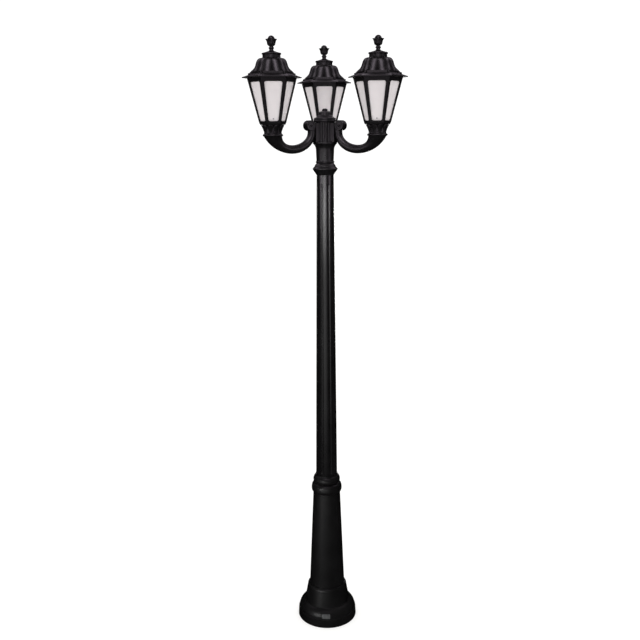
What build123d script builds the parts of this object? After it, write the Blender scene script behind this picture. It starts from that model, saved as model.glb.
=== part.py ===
from build123d import *
from math import atan2, cos, radians, sin, sqrt
import os

# A garden lamp post: three six-sided lanterns on horn arms round one hub.
# Millimetres, +Z up. The origin is the middle of the base, on the ground.
# The arms stand evenly round the post, and the first one, the rear one, lies along +Y.
SIDES = ("rear", "left", "right")
REAR_TURN = 90  # degrees from +X
LANTERN_TWISTS = (0, 7, -7)  # degrees that each lantern is turned on its spigot

# Fits
SLIP = 0.2  # radial gap of pieces that slide together once
LAMP_FIT = 0.08  # radial gap of the lamp's cap, which turns in its holder
LIFT_GAP = 0.5  # gap round the cage inside the roof, which lifts off
REST_GAP = 0.3  # gap under a piece that moves away from its seat

# Ground flange and core tube
FLANGE_R = 108.0
FLANGE_T = 12.0
ANCHOR_COUNT = 4
ANCHOR_CIRCLE_R = 85.0
ANCHOR_HOLE_R = 7.0
CABLE_HOLE_R = 17.5
CORE_R = 24.15
CORE_WALL = 3.2

# Base bell
BELL_R = 134.5
BELL_WALL = 6.0
BELL_H = 164.0
RIM_H = 36.0
RIM_DRAFT = 2.0
RIM_LEDGE = 3.0
SHOULDER_R = 105.0
SHOULDER_Z = 78.0
SHOULDER_STEP = 3.0
BELL_NECK_R = 90.0
BELL_NECK_Z = 148.0
BELL_TOP_R = 82.5
BELL_NECK_BULGE = 2.0

# Plinth column and its double ring
PLINTH_FOOT_R = 80.0
PLINTH_TOP_R = 60.8
PLINTH_WALL = 5.0
PLINTH_H = 457.0
BIG_RING_R = 68.2
BIG_RING_H = 44.0
RING_VALLEY_R = 55.5
SMALL_RING_R = 60.2
SMALL_RING_H = 36.0
RING_LIP = 6.0
RING_LIP_W = 2.0
RING_BORE_R = 39.0

# Shaft
SHAFT_FOOT_R = 47.5
SHAFT_TOP_R = 35.8
SHAFT_WALL = 5.0
SHAFT_H = 1333.0
SHAFT_LAND_H = 25.0
FLUTE_COUNT = 8
FLUTE_R = 6.5
FLUTE_DEPTH = 2.4
FLUTE_FOOT = 16.0
FLUTE_HEAD = 30.0

# Collar on the shaft
COLLAR_R = 52.2
COLLAR_RIDGE_Z = 25.5
COLLAR_RIDGE_FLAT = 3.0
COLLAR_STEP_R = 43.5
COLLAR_STEP_Z = 36.0
COLLAR_STEP_H = 3.5
COLLAR_BEAD_R = 39.2
COLLAR_BEAD_H = 8.0
COLLAR_H = 57.0

# Hub: sleeve, ribbed drum, lid and bud
SLEEVE_FOOT_R = 36.0
SLEEVE_R = 38.0
SLEEVE_LIP_R = 50.0
SLEEVE_LIP_H = 6.0
SLEEVE_FLARE_H = 25.0
SLEEVE_H = 77.0
SLEEVE_SOCKET_H = 50.0
WIRE_R = 9.0
DRUM_R = 39.5
DRUM_H = 79.0
DRUM_FLOOR = 8.0
DRUM_CAVITY = 29.0
DRUM_FLUTES = 18
DRUM_FLUTE_R = 5.2
DRUM_FLUTE_DEPTH = 2.6
PAD_FACE = 43.0
PAD_W = 36.0
PAD_MARGIN = 4.0
LID_R = 47.0
LID_T = 11.0
LID_STEP_R = 26.0
LID_STEP_H = 7.0
LID_STEP_EDGE = 2.5
LID_SPIGOT_H = 6.0
BUD_R = 22.0
BUD_H = 22.0
BUD_RIBS = 12
BUD_RIB_R = 3.4
BUD_RIB_DEPTH = 1.5
BUD_FOOT_IN = 3.0
BUD_BELLY = 0.45  # height of the fullest ring, as a share
KNOB_NECK_R = 4.8
KNOB_NECK_H = 2.4
KNOB_R = 8.0
BUD_STEM_R = 5.0

# Terminal block in the drum
BLOCK_SIZE = (32.0, 12.0, 18.0)
BLOCK_Y = 15.0
BLOCK_WAYS = 3
BLOCK_HOLE_R = 2.5

# Arms
ARM_REACH = 240.0
ARM_R = 17.2
ARM_WALL = 4.0
ARM_LOW_S = 155.0
ARM_DROP = 68.0
ARM_ROOT_RISE = 40.0
SEAT_RISE = 24.0
HORN_R = 36.5
ARM_FLANGE_T = 9.0
SCROLL_R = 21.0
SCROLL_W = 36.0
SCROLL_OUT = 11.0
SCROLL_RISE = 26.0
SCROLL_EDGE = 3.0
SCROLL_GROOVE_W = 3.0
SCROLL_GROOVE_D = 3.5
SCROLL_EYE_R = 5.5
SPIGOT_R = 22.0
SPIGOT_H = 23.0
ARM_HOLLOW_END = 0.88  # where the hollow stops, as a share of the bell's turn
ARM_WIRE_R = 4.5
ARM_WIRE_DROP = 6.0
ARM_BOLT_END = 1.5  # metal left in the flange beyond a bolt

# Seat ring and cup of each lantern
SEAT_RING_R = 41.0
SEAT_RING_H = 9.0
CUP_R = 34.2
CUP_TOP_R = 43.0
CUP_H = 36.0
CUP_NECK_H = 24.0
CUP_BEAD = 2.2
CUP_BEAD_H = 4.0
CUP_WEB = 6.0
CUP_SOCKET_H = 15.0

# Cage
CAGE_BEVEL_R = 50.0
CAGE_BEVEL_H = 8.0
CAGE_FOOT_R = 54.0
CAGE_TOP_R = 99.0
CAGE_WALL = 4.0
CAGE_H = 181.0
CAGE_RAIL_FOOT = 5.5
CAGE_RAIL_TOP = 19.0
CAGE_POST_FOOT = 8.5
CAGE_POST_TOP = 11.5
WINDOW_CORNER_R = 7.0

# Diffuser and gasket
DIFFUSER_WALL = 2.0
GASKET_T = 2.0
GASKET_W = 9.0

# Roof: eave, lobed dome with hip ribs, and cavity
EAVE_R = 117.6
EAVE_EDGE = 3.5
EAVE_DROP = 5.0
EAVE_MID_R = 95.0
EAVE_RISE = 19.0
EAVE_SAG = 0.6
LEDGE_R = 82.0
LEDGE_H = 3.5
DOME_FOOT_R = 74.0
DOME_TOP_R = 42.0
DOME_H = 52.5
LOBE_BULGE = 6.0
LOBE_FADE = 0.6  # share of the bulge lost by the top
CREASE_FOOT = 0.84  # crease radius as a share of the hip radius
CREASE_TOP = 0.92
DOME_SWELL = 0.45
DOME_SHARES = (0.3, 0.6, 0.85, 1.0)
RIB_W = 5.0
RIB_PROUD = 2.5
HIP_BUD_R = 4.0
HIP_BUD_OUT = 90.0
ROOF_WALL = 3.0
CHAMBER_R = 76.2
CHAMBER_T = 2.5
ROOF_CROWN_T = 11.0

# Roof cap and finial
VENT_R = 36.0
VENT_RIM_R = 38.6
VENT_RIM_H = 7.0
VENT_H = 19.0
VENT_CONE_H = 6.0
VENT_DRAFT = 1.0
STEM_R = 4.8
FOOT_R = 15.0
NECK_R = 8.0
BEAD_R = 10.8
TULIP_R = 16.2
TULIP_RIM_R = 21.5
TULIP_PETALS = 6
PETAL_NOTCH_R = 5.0
PETAL_NOTCH_DEPTH = 4.2
FINIAL_FOOT_H = 8.0
FINIAL_BEAD_H = 8.0
FINIAL_NECK_H = 3.0
TULIP_H = 27.0
TULIP_BELLY = 0.5  # height of the belly, as a share
CROWN_R = 14.0
CROWN_H = 13.0

# Lampholder and lamp
HOLDER_R = 19.5
HOLDER_H = 46.0
HOLDER_SOCKET_H = 28.0
LAMP_CAP_R = 13.2
LAMP_CAP_H = 25.0
LAMP_TIP_R = 5.0
LAMP_TIP_H = 2.0
GLOBE_R = 30.0
GLOBE_NECK_R = 15.0
GLOBE_H = 80.0

# Fasteners
SET_SCREW_R = 3.0
SET_SCREW_SINK = 0.5
BOLT_R = 3.0
BOLT_HEAD_R = 4.8
BOLT_HEAD_H = 4.5
BOLT_GRIP = 12.0
DRUM_SCREW_S = 19.0
ARM_BOLT_RISES = (22.0, 60.0)
SLEEVE_SCREW_RISE = 22.0
CUP_SCREW_RISE = 8.0

# Derived: heights of the joints between pieces, from the ground up
Z_PLINTH = BELL_H
Z_RINGS = Z_PLINTH + PLINTH_H
Z_SHAFT = Z_RINGS + BIG_RING_H + SMALL_RING_H + RING_LIP
Z_COLLAR = Z_SHAFT + SHAFT_H
Z_SLEEVE = Z_COLLAR + COLLAR_H
Z_DRUM = Z_SLEEVE + SLEEVE_H
Z_LID = Z_DRUM + DRUM_H
Z_CORE_TOP = Z_SLEEVE + SLEEVE_SOCKET_H
ARM_ROOT_S = PAD_FACE + ARM_R + ARM_FLANGE_T / 4
Z_SEAT = Z_DRUM + SEAT_RISE
Z_CUP = Z_SEAT + SEAT_RING_H
Z_CAGE = Z_CUP + CUP_H
Z_CAGE_FLOOR = Z_CAGE + CAGE_BEVEL_H
Z_RAIL = Z_CAGE + CAGE_H
Z_LAND = Z_RAIL + GASKET_T
Z_EAVE = Z_LAND - EAVE_DROP
Z_DOME = Z_EAVE + EAVE_EDGE + EAVE_RISE
Z_VENT = Z_DOME + DOME_H
Z_FINIAL = Z_VENT + VENT_H + VENT_CONE_H
Z_HOLDER = Z_CUP + CUP_SOCKET_H + CUP_WEB
Z_GLOBE = Z_HOLDER + HOLDER_H + REST_GAP

COS30 = cos(radians(30))


def lathe(*edges):
    """Turn a closed outline of (radius, height) edges about the Z axis."""
    return revolve(Plane.XZ * make_face(edges), Axis.Z)


def hexagon(corner_r, z):
    """A level hexagon with corners on the X axis."""
    return Pos(0, 0, z) * RegularPolygon(corner_r, 6)


def rod(start, end, radius):
    """A straight round bar between two points."""
    start, end = Vector(*start), Vector(*end)
    return extrude(Plane(start, z_dir=end - start) * Circle(radius), amount=(end - start).length)


def around(piece, count, first=0.0):
    """Copies of a piece spaced evenly about the Z axis."""
    return [Rot(0, 0, first + 360.0 * i / count) * piece for i in range(count)]


def to_lanterns(piece):
    """Copies of a piece, built on the Z axis, on the three lantern axes."""
    places = {}
    for i, (side, twist) in enumerate(zip(SIDES, LANTERN_TWISTS)):
        across = Vector(ARM_REACH, 0, 0).rotate(Axis.Z, REAR_TURN + 360.0 * i / len(SIDES))
        places[side] = Pos(across) * Rot(0, 0, twist) * piece
    return places


# Post


def ground_flange():
    """Steel plate with the anchor holes, the cable hole and a seat for the tube."""
    plate = lathe(Polyline((CABLE_HOLE_R, 0), (FLANGE_R, 0), (FLANGE_R, FLANGE_T), (CABLE_HOLE_R, FLANGE_T),
                           close=True))
    hole = rod((ANCHOR_CIRCLE_R, 0, 0), (ANCHOR_CIRCLE_R, 0, FLANGE_T), ANCHOR_HOLE_R)
    return plate - around(hole, ANCHOR_COUNT, 360.0 / ANCHOR_COUNT / 2)


def core_tube():
    """Steel tube that stands on the flange and carries the head."""
    inner = CORE_R - CORE_WALL
    return lathe(Polyline((inner, FLANGE_T), (CORE_R, FLANGE_T), (CORE_R, Z_CORE_TOP), (inner, Z_CORE_TOP),
                          close=True))


def base_bell():
    """Hollow foot: a rim, a rounded shoulder, a cone and a rounded neck."""
    rim_top = BELL_R - RIM_DRAFT
    ledge = (rim_top - RIM_LEDGE, RIM_H + RIM_LEDGE)
    shoulder = (SHOULDER_R, SHOULDER_Z)
    step = (SHOULDER_R - SHOULDER_STEP, SHOULDER_Z + SHOULDER_STEP)
    neck = (BELL_NECK_R, BELL_NECK_Z)
    top = (BELL_TOP_R, BELL_H)
    bore = PLINTH_FOOT_R - 2 * PLINTH_WALL
    foot = (BELL_R - BELL_WALL, 0)
    return lathe(
        Polyline(foot, (BELL_R, 0), (rim_top, RIM_H), ledge),
        TangentArc(ledge, shoulder, tangent=(0, 1)),
        Polyline(shoulder, step, neck),
        SagittaArc(neck, top, -BELL_NECK_BULGE),
        Polyline(top, (bore, BELL_H), (bore, BELL_H - BELL_WALL), (BELL_NECK_R - BELL_WALL, BELL_NECK_Z),
                 (step[0] - BELL_WALL, SHOULDER_Z - BELL_WALL), (ledge[0] - BELL_WALL, RIM_H), foot),
    )


def plinth_column():
    """Plain tapering lower column, hollow."""
    return lathe(Polyline((PLINTH_FOOT_R - PLINTH_WALL, Z_PLINTH), (PLINTH_FOOT_R, Z_PLINTH),
                          (PLINTH_TOP_R, Z_RINGS), (PLINTH_TOP_R - PLINTH_WALL, Z_RINGS), close=True))


def plinth_rings():
    """A fat ring and a slim ring turned in one piece, between plinth and shaft."""
    valley = Z_RINGS + BIG_RING_H
    lip = valley + SMALL_RING_H
    lip_r = SHAFT_FOOT_R + RING_LIP_W
    return lathe(
        Line((RING_BORE_R, Z_RINGS), (PLINTH_TOP_R, Z_RINGS)),
        Spline((PLINTH_TOP_R, Z_RINGS), (BIG_RING_R, Z_RINGS + BIG_RING_H / 2), (RING_VALLEY_R, valley),
               tangents=((1, 0.6), (-1, 0.35))),
        ThreePointArc((RING_VALLEY_R, valley), (SMALL_RING_R, valley + SMALL_RING_H / 2), (lip_r, lip)),
        Polyline((lip_r, lip), (lip_r, Z_SHAFT), (RING_BORE_R, Z_SHAFT), (RING_BORE_R, Z_RINGS)),
    )


def shaft_r(z):
    """Outer radius of the shaft at a height."""
    return SHAFT_FOOT_R + (SHAFT_TOP_R - SHAFT_FOOT_R) * (z - Z_SHAFT) / SHAFT_H


def shaft():
    """Long tapering tube with round-ended flutes and a land that guides the core tube."""
    land = Z_COLLAR - SHAFT_LAND_H
    guide = CORE_R + SLIP
    tube = lathe(Polyline((SHAFT_FOOT_R - SHAFT_WALL, Z_SHAFT), (SHAFT_FOOT_R, Z_SHAFT),
                          (SHAFT_TOP_R, Z_COLLAR), (guide, Z_COLLAR), (guide, land),
                          (shaft_r(land) - SHAFT_WALL, land), close=True))
    proud = FLUTE_R - FLUTE_DEPTH
    low, high = Z_SHAFT + FLUTE_FOOT, Z_COLLAR - FLUTE_HEAD
    start, end = (shaft_r(low) + proud, 0, low), (shaft_r(high) + proud, 0, high)
    flute = rod(start, end, FLUTE_R) + Pos(start) * Sphere(FLUTE_R) + Pos(end) * Sphere(FLUTE_R)
    return tube - around(flute, FLUTE_COUNT, 180.0 / FLUTE_COUNT)


def shaft_collar():
    """Sharp-ridged ring with a step and a bead above, at the head of the shaft."""
    bore = CORE_R + SLIP
    ridge = Z_COLLAR + COLLAR_RIDGE_Z
    flat = COLLAR_RIDGE_FLAT / 2
    step = Z_COLLAR + COLLAR_STEP_Z
    bead = Z_SLEEVE - COLLAR_BEAD_H
    return lathe(
        Polyline((bore, Z_COLLAR), (SHAFT_TOP_R, Z_COLLAR), (COLLAR_R, ridge - flat),
                 (COLLAR_R, ridge + flat), (COLLAR_STEP_R, step), (COLLAR_STEP_R, step + COLLAR_STEP_H),
                 (SHAFT_TOP_R, bead)),
        ThreePointArc((SHAFT_TOP_R, bead), (COLLAR_BEAD_R, bead + COLLAR_BEAD_H / 2),
                      (SHAFT_TOP_R, Z_SLEEVE)),
        Polyline((SHAFT_TOP_R, Z_SLEEVE), (bore, Z_SLEEVE), (bore, Z_COLLAR)),
    )


# Hub


def hub_sleeve():
    """Sleeve over the head of the core tube, flaring to a lip under the drum."""
    bore = CORE_R + SLIP
    lip = Z_DRUM - SLEEVE_LIP_H
    flare = lip - SLEEVE_FLARE_H
    body = lathe(
        Polyline((bore, Z_SLEEVE), (SLEEVE_FOOT_R, Z_SLEEVE), (SLEEVE_R, flare)),
        TangentArc((SLEEVE_R, flare), (SLEEVE_LIP_R, lip), tangent=(0, 1)),
        Polyline((SLEEVE_LIP_R, lip), (SLEEVE_LIP_R, Z_DRUM), (WIRE_R, Z_DRUM), (WIRE_R, Z_CORE_TOP),
                 (bore, Z_CORE_TOP), (bore, Z_SLEEVE)),
    )
    screw_way = rod((0, 0, Z_SLEEVE + SLEEVE_SCREW_RISE), (SLEEVE_LIP_R, 0, Z_SLEEVE + SLEEVE_SCREW_RISE),
                    SET_SCREW_R + SLIP)
    floor_hole = rod((DRUM_SCREW_S, 0, Z_DRUM - BOLT_GRIP), (DRUM_SCREW_S, 0, Z_DRUM), BOLT_R + SLIP)
    return body - around(screw_way, len(SIDES), -REAR_TURN) - around(floor_hole, 2)


def drum_screw_hole():
    """Way of one screw through the drum's floor."""
    return rod((DRUM_SCREW_S, 0, Z_DRUM), (DRUM_SCREW_S, 0, Z_DRUM + DRUM_FLOOR), BOLT_R + SLIP)


def hub_drum():
    """Ribbed drum: three pads for the arms outside, the wiring space inside."""
    drum = lathe(Polyline((0, Z_DRUM), (DRUM_R, Z_DRUM), (DRUM_R, Z_LID), (0, Z_LID), close=True))
    flute_s = DRUM_R + DRUM_FLUTE_R - DRUM_FLUTE_DEPTH
    flute = rod((flute_s, 0, Z_DRUM), (flute_s, 0, Z_LID), DRUM_FLUTE_R)
    drum -= around(flute, DRUM_FLUTES, 180.0 / DRUM_FLUTES)
    pad = Pos(0, 0, (Z_DRUM + Z_LID) / 2) * Box(PAD_FACE, PAD_W, DRUM_H - 2 * PAD_MARGIN,
                                               align=(Align.MIN, Align.CENTER, Align.CENTER))
    drum += around(pad, len(SIDES), REAR_TURN)
    floor = Z_DRUM + DRUM_FLOOR
    cavity = RegularPolygon(DRUM_CAVITY, 6, major_radius=False)
    drum -= extrude(Pos(0, 0, floor) * cavity, amount=Z_LID - floor)
    wire_way = rod((0, 0, Z_DRUM), (0, 0, floor), WIRE_R)
    wire_z = Z_DRUM + ARM_ROOT_RISE - ARM_WIRE_DROP
    ways = [rod((0, 0, wire_z), (PAD_FACE, 0, wire_z), ARM_WIRE_R)]
    for rise in ARM_BOLT_RISES:
        ways.append(rod((0, 0, Z_DRUM + rise), (PAD_FACE, 0, Z_DRUM + rise), BOLT_R + SLIP))
    for way in ways:
        drum -= around(way, len(SIDES), REAR_TURN)
    return drum - wire_way - around(drum_screw_hole(), 2)


def hub_cap():
    """Lid of the drum: a spigot below, a round rim and a step that carries the bud."""
    spigot_r = DRUM_CAVITY - SLIP
    rim = LID_T / 2
    top = Z_LID + LID_T
    step = top + LID_STEP_H
    bore = BUD_STEM_R + SLIP
    low = Z_LID - LID_SPIGOT_H
    return lathe(
        Polyline((bore, low), (spigot_r, low), (spigot_r, Z_LID), (LID_R - rim, Z_LID)),
        ThreePointArc((LID_R - rim, Z_LID), (LID_R, Z_LID + rim), (LID_R - rim, top)),
        Polyline((LID_R - rim, top), (LID_STEP_R, step - LID_STEP_EDGE),
                 (LID_STEP_R - LID_STEP_EDGE, step), (bore, step), (bore, low)),
    )


def hub_finial():
    """Ribbed bud with a round knob, on a stem through the lid."""
    foot = Z_LID + LID_T + LID_STEP_H
    crown = foot + BUD_H
    low = Z_LID - LID_SPIGOT_H
    knob_foot = crown + KNOB_NECK_H
    knob_top = knob_foot + KNOB_R + sqrt(KNOB_R**2 - KNOB_NECK_R**2)
    foot_r = BUD_R - BUD_FOOT_IN
    bud = lathe(
        Polyline((0, low), (BUD_STEM_R, low), (BUD_STEM_R, foot), (foot_r, foot)),
        Spline((foot_r, foot), (BUD_R, foot + BUD_H * BUD_BELLY), (KNOB_NECK_R, crown),
               tangents=((0.5, 1), (-1, 0.15))),
        Line((KNOB_NECK_R, crown), (KNOB_NECK_R, knob_foot)),
        TangentArc((0, knob_top), (KNOB_NECK_R, knob_foot), tangent=(1, 0)),
        Line((0, knob_top), (0, low)),
    )
    rib_s = BUD_R + BUD_RIB_R - BUD_RIB_DEPTH
    groove = rod((rib_s, 0, foot - BUD_RIB_R), (rib_s, 0, crown), BUD_RIB_R)
    return bud - around(groove, BUD_RIBS)


def terminal_block():
    """Three-way block on the drum's floor, with its wire holes."""
    length, depth, height = BLOCK_SIZE
    floor = Z_DRUM + DRUM_FLOOR
    block = Pos(0, BLOCK_Y, floor) * Box(length, depth, height, align=(Align.CENTER, Align.CENTER, Align.MIN))
    pitch = length / BLOCK_WAYS
    for i in range(BLOCK_WAYS):
        x, z = (i - (BLOCK_WAYS - 1) / 2) * pitch, floor + height / 2
        block -= rod((x, BLOCK_Y - depth / 2, z), (x, BLOCK_Y + depth / 2, z), BLOCK_HOLE_R)
    return block


# Arms


def horn_sections(shrink, end):
    """Round sections of an arm, each less a wall, from its root to a share of the bell's turn."""
    upper_drop, lower_drop = ARM_DROP - ARM_R, ARM_DROP + ARM_R
    pairs = []
    for share in (0, 0.5):
        a = radians(90 * share)
        upper = (ARM_LOW_S - (ARM_LOW_S - ARM_ROOT_S - ARM_R) * cos(a), ARM_ROOT_RISE - upper_drop * sin(a))
        lower = (ARM_LOW_S - (ARM_LOW_S - ARM_ROOT_S + ARM_R) * cos(a), ARM_ROOT_RISE - lower_drop * sin(a))
        pairs.append((upper, lower))
    upper_low, lower_low = ARM_ROOT_RISE - upper_drop, ARM_ROOT_RISE - lower_drop
    across, up = ARM_REACH + HORN_R - ARM_LOW_S, SEAT_RISE - lower_low
    belly_r = (across**2 + up**2) / (2 * up)
    belly_turn = 2 * atan2(up, across)
    for part in (0, 0.5, 1):
        share = part * end
        a, b = radians(90 * share), belly_turn * share
        upper = (ARM_LOW_S + (ARM_REACH - HORN_R - ARM_LOW_S) * sin(a),
                 SEAT_RISE - (SEAT_RISE - upper_low) * cos(a))
        lower = (ARM_LOW_S + belly_r * sin(b), lower_low + belly_r * (1 - cos(b)))
        pairs.append((upper, lower))
    sections = []
    for (s0, z0), (s1, z1) in pairs:
        across = Vector(s1 - s0, 0, z1 - z0)
        forward = Vector(z0 - z1, 0, s1 - s0)
        plane = Plane(((s0 + s1) / 2, 0, (z0 + z1) / 2), x_dir=across, z_dir=forward)
        sections.append(plane * Circle(across.length / 2 - shrink))
    return sections


def scroll():
    """Rolled end of an arm: a drum across the arm with a spiral groove and an eye."""
    disc = Rot(90, 0, 0) * Cylinder(SCROLL_R, SCROLL_W)
    disc = fillet(disc.edges().filter_by(GeomType.CIRCLE), SCROLL_EDGE)
    outer, middle, inner = (SCROLL_R - SCROLL_EDGE - SCROLL_GROOVE_W) * Vector(1.0, 0.8, 0.6)
    path = [(outer, 0), (0, outer), (-middle, 0), (0, -middle), (inner, 0)]
    line = ThreePointArc(*path[:3]) + ThreePointArc(*path[2:])
    band = Plane.XZ * trace(line, SCROLL_GROOVE_W)
    side = SCROLL_W / 2 - SCROLL_GROOVE_D
    for sign in (1, -1):
        disc -= Pos(0, sign * side, 0) * extrude(band, amount=-sign * SCROLL_W)
        disc += Pos(0, sign * SCROLL_W / 2, 0) * Sphere(SCROLL_EYE_R)
    return disc


def arm():
    """Hollow horn along +X: flange at the hub, scroll above, spigot for the lantern."""
    scroll_z = ARM_ROOT_RISE + SCROLL_RISE
    wire_z = ARM_ROOT_RISE - ARM_WIRE_DROP
    top = SEAT_RISE + SPIGOT_H
    flange = Pos(PAD_FACE, 0, DRUM_H / 2) * Box(ARM_FLANGE_T, PAD_W, DRUM_H - 2 * PAD_MARGIN,
                                                align=(Align.MIN, Align.CENTER, Align.CENTER))
    body = loft(horn_sections(0, 1)) + rod((ARM_ROOT_S, 0, ARM_ROOT_RISE), (ARM_ROOT_S, 0, scroll_z), ARM_R)
    body += flange
    body += Pos(ARM_ROOT_S + SCROLL_OUT, 0, scroll_z) * scroll()
    body += rod((ARM_REACH, 0, SEAT_RISE - ARM_WALL), (ARM_REACH, 0, top), SPIGOT_R)
    body -= loft(horn_sections(ARM_WALL, ARM_HOLLOW_END))
    body -= rod((ARM_REACH, 0, SEAT_RISE - HORN_R / 2), (ARM_REACH, 0, top), SPIGOT_R - ARM_WALL)
    body -= rod((PAD_FACE, 0, wire_z), (ARM_ROOT_S, 0, wire_z), ARM_WIRE_R)
    for rise in ARM_BOLT_RISES:
        body -= rod((PAD_FACE, 0, rise), (PAD_FACE + ARM_FLANGE_T - ARM_BOLT_END, 0, rise), BOLT_R + SLIP)
    return Pos(0, 0, Z_DRUM) * body


# Lantern, built on the Z axis


def seat_ring():
    """Bead round the arm's spigot, under the lantern."""
    bore = SPIGOT_R + SLIP
    rim = SEAT_RING_H / 2
    return lathe(
        Line((bore, Z_SEAT), (SEAT_RING_R - rim, Z_SEAT)),
        ThreePointArc((SEAT_RING_R - rim, Z_SEAT), (SEAT_RING_R, Z_SEAT + rim), (SEAT_RING_R - rim, Z_CUP)),
        Polyline((SEAT_RING_R - rim, Z_CUP), (bore, Z_CUP), (bore, Z_SEAT)),
    )


def cup():
    """Round neck of the lantern: the arm's spigot below, the lampholder above."""
    spigot_r, holder_r = SPIGOT_R + SLIP, HOLDER_R + SLIP
    neck = Z_CUP + CUP_NECK_H
    low_bead, high_bead = Z_CUP + CUP_BEAD_H, neck - CUP_BEAD_H
    web = Z_CUP + CUP_SOCKET_H
    body = lathe(
        Line((spigot_r, Z_CUP), (CUP_R, Z_CUP)),
        ThreePointArc((CUP_R, Z_CUP), (CUP_R + CUP_BEAD, Z_CUP + CUP_BEAD_H / 2), (CUP_R, low_bead)),
        Line((CUP_R, low_bead), (CUP_R, high_bead)),
        ThreePointArc((CUP_R, high_bead), (CUP_R + CUP_BEAD, neck - CUP_BEAD_H / 2), (CUP_R, neck)),
        TangentArc((CUP_R, neck), (CUP_TOP_R, Z_CAGE), tangent=(0, 1)),
        Polyline((CUP_TOP_R, Z_CAGE), (holder_r, Z_CAGE), (holder_r, Z_HOLDER), (WIRE_R, Z_HOLDER),
                 (WIRE_R, web), (spigot_r, web), (spigot_r, Z_CUP)),
    )
    screw_z = Z_CUP + CUP_SCREW_RISE
    return body - around(rod((0, 0, screw_z), (CUP_TOP_R, 0, screw_z), SET_SCREW_R + SLIP), 3, 30)


def cage_r(z):
    """Corner radius of the cage's outside above its bevel."""
    return CAGE_FOOT_R + (CAGE_TOP_R - CAGE_FOOT_R) * (z - Z_CAGE_FLOOR) / (Z_RAIL - Z_CAGE_FLOOR)


def liner(inset, z_top):
    """Six-sided tapering block inside the cage, a set distance in from its outside."""
    corner = inset / COS30
    foot = hexagon(cage_r(Z_CAGE_FLOOR) - corner, Z_CAGE_FLOOR)
    return loft([foot, hexagon(cage_r(z_top) - corner, z_top)], ruled=True)


def window():
    """Cutter for the window whose outward side is +X, with rounded corners."""
    foot, head = Z_CAGE_FLOOR + CAGE_RAIL_FOOT, Z_RAIL - CAGE_RAIL_TOP
    foot_w, head_w = cage_r(foot) / 2 - CAGE_POST_FOOT, cage_r(head) / 2 - CAGE_POST_TOP
    outline = Polygon((-foot_w, foot), (foot_w, foot), (head_w, head), (-head_w, head), align=None)
    outline = fillet(outline.vertices(), WINDOW_CORNER_R)
    return extrude(Plane.YZ * outline, amount=CAGE_TOP_R)


def cage():
    """Six-sided tapering frame with a floor, six windows and a top rail."""
    body = loft([hexagon(CAGE_BEVEL_R, Z_CAGE), hexagon(CAGE_FOOT_R, Z_CAGE_FLOOR),
                 hexagon(CAGE_TOP_R, Z_RAIL)], ruled=True)
    body -= liner(CAGE_WALL, Z_RAIL)
    body -= around(window(), 6, 30)
    return body - rod((0, 0, Z_CAGE), (0, 0, Z_CAGE_FLOOR), HOLDER_R + SLIP)


def diffuser():
    """One-piece opal liner behind the six windows, open at both ends."""
    outer = CAGE_WALL + SLIP
    return liner(outer, Z_RAIL) - liner(outer + DIFFUSER_WALL, Z_RAIL)


def gasket():
    """Flat seal on the cage's rail, over the diffuser's edge."""
    ring = hexagon(CAGE_TOP_R, Z_RAIL) - hexagon(CAGE_TOP_R - GASKET_W / COS30, Z_RAIL)
    return extrude(ring, amount=GASKET_T - REST_GAP)


def lobed(z, hip_r, crease_r, bulge):
    """Level outline with two swelling lobes on each of six sides."""
    corners = []
    for i in range(12):
        reach = crease_r if i % 2 else hip_r
        corners.append(Vector(reach, 0, 0).rotate(Axis.Z, 30 * i))
    arcs = []
    for start, end in zip(corners, corners[1:] + corners[:1]):
        chord = end - start
        outward = Vector(chord.Y, -chord.X, 0).normalized()
        arcs.append(ThreePointArc(start, (start + end) / 2 + outward * bulge, end))
    return Pos(0, 0, z) * make_face(arcs)


def dome_r(share):
    """Hip radius of the dome at a share of its height: a bell that rounds in at the top."""
    straight = DOME_FOOT_R + (DOME_TOP_R - DOME_FOOT_R) * share
    return straight + (DOME_FOOT_R - DOME_TOP_R) * DOME_SWELL * share**2 * sqrt(1 - share**4)


def slope_z(hip_r):
    """Height of the eave's straight slope at a hip radius."""
    foot = Z_EAVE + EAVE_EDGE
    return foot + (EAVE_RISE - LEDGE_H) * (EAVE_R - hip_r) / (EAVE_R - DOME_FOOT_R)


def dome():
    """Lobed dome: sections swell low down and come nearly round under the cap."""
    sections = [lobed(Z_DOME - EAVE_RISE / 4, DOME_FOOT_R, DOME_FOOT_R * CREASE_FOOT, LOBE_BULGE)]
    for share in DOME_SHARES:
        hip_r = dome_r(share)
        crease_r = hip_r * (CREASE_FOOT + (CREASE_TOP - CREASE_FOOT) * share)
        sections.append(lobed(Z_DOME + DOME_H * share, hip_r, crease_r, LOBE_BULGE * (1 - LOBE_FADE * share)))
    return loft(sections)


def hip_rib():
    """Raised rib down one hip of the dome, with a bud at its foot on the eave."""
    ridge = [(dome_r(share) + RIB_PROUD, Z_DOME + DOME_H * share) for share in reversed(DOME_SHARES)]
    eave_z = slope_z(HIP_BUD_OUT)
    inner = dome_r(1.0) / 2
    outline = make_face([
        Spline(*ridge, (LEDGE_R, Z_DOME + RIB_PROUD), (HIP_BUD_OUT, eave_z + RIB_PROUD)),
        Polyline((HIP_BUD_OUT, eave_z + RIB_PROUD), (HIP_BUD_OUT, eave_z - EAVE_EDGE),
                 (inner, eave_z - EAVE_EDGE), (inner, Z_VENT), ridge[0]),
    ])
    rib = Pos(0, RIB_W / 2, 0) * extrude(Plane.XZ * outline, amount=RIB_W)
    return rib + Pos(HIP_BUD_OUT, 0, eave_z + HIP_BUD_R / 3) * Sphere(HIP_BUD_R)


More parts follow.
